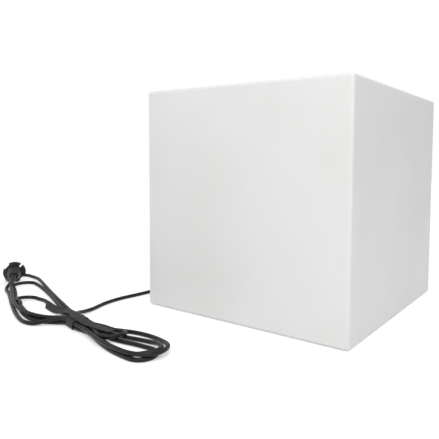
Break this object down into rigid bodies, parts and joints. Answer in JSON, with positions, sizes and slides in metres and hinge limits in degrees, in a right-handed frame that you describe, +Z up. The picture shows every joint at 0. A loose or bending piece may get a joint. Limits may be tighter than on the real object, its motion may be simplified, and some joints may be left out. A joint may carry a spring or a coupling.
{
  "type": "led cube light",
  "caption": "Free-standing cube light for gardens and porches: a hollow white glowing cube over a base plate with a lamp in a screw holder, and a long rubber lead tied in a hank, with a plug.",
  "frame": {"origin": "on the ground under the middle of the cube", "axes": "+Z up, -Y out of the front face, +X to the right seen from the front; the lead leaves the cube at -X"},
  "size_m": [0.8002, 0.5973, 0.39],
  "materials": {
    "moulded_cube": "white translucent polyethylene, rotation moulded, faint orange-peel, satin",
    "brass": "plain machined brass",
    "rubber_feet": "black rubber, matt",
    "base_plastic": "light grey injection-moulded plastic, fine texture",
    "gasket": "black closed-cell rubber, matt",
    "stainless": "stainless steel, plain",
    "gland_plastic": "black nylon, satin",
    "cord_rubber": "black rubber sheath, matt with a slight sheen",
    "core_brown": "brown core insulation",
    "core_blue": "blue core insulation",
    "holder_plastic": "black heat-proof plastic, satin",
    "porcelain": "white glazed porcelain",
    "contact_brass": "nickel-brass sheet",
    "lamp_solder": "tin-plated contact",
    "lamp_glass": "black glass insulator",
    "lamp_cap": "nickel-plated aluminium screw cap",
    "lamp_housing": "white moulded plastic, satin",
    "circuit_board": "green circuit board",
    "lamp_board": "white-lacquered aluminium board",
    "led_phosphor": "yellow phosphor",
    "lamp_diffuser": "frosted white translucent plastic",
    "strap_fabric": "black hook-and-loop tape, slightly brown, matt",
    "plug_rubber": "black moulded rubber, satin",
    "pin_metal": "nickel-plated brass"
  },
  "bodies": {
    "base": {"base_plate": "base_plastic", "base_feet": "rubber_feet", "base_gasket": "gasket", "base_screws": "stainless", "screw_washers": "stainless", "cable_gland_body": "gland_plastic", "gland_washer": "gasket", "gland_locknut": "gland_plastic", "gland_seal": "gasket", "gland_cap_nut": "gland_plastic", "cord_inner": "cord_rubber", "core_live": "core_brown", "core_neutral": "core_blue", "cord_clamp": "base_plastic", "cord_clamp_screws": "stainless", "lampholder_base": "holder_plastic", "holder_screws": "stainless", "holder_insert": "porcelain", "terminals": "brass", "screw_shell": "contact_brass", "centre_contact": "contact_brass", "lampholder_skirt": "holder_plastic", "cord_lead": "cord_rubber", "cord_hank": "cord_rubber", "cord_tail": "cord_rubber", "cord_strap": "strap_fabric", "plug_body": "plug_rubber", "plug_pins": "pin_metal"},
    "shell": {"shell": "moulded_cube", "threaded_inserts": "brass", "foot_pads": "rubber_feet"},
    "bulb": {"bulb_centre_contact": "lamp_solder", "bulb_cap_insulator": "lamp_glass", "bulb_cap": "lamp_cap", "bulb_housing": "lamp_housing", "bulb_driver_board": "circuit_board", "led_board": "lamp_board", "led_chips": "led_phosphor", "bulb_diffuser": "lamp_diffuser"}
  },
  "joints": [
    {"name": "shell_lift", "type": "slide", "parent": "base", "child": "shell", "axis": [0, 0, 1], "range_m": [0, 0.24]},
    {"name": "bulb_out", "type": "slide", "parent": "base", "child": "bulb", "axis": [0, 0, 1], "range_m": [0, 0.032]}
  ]
}
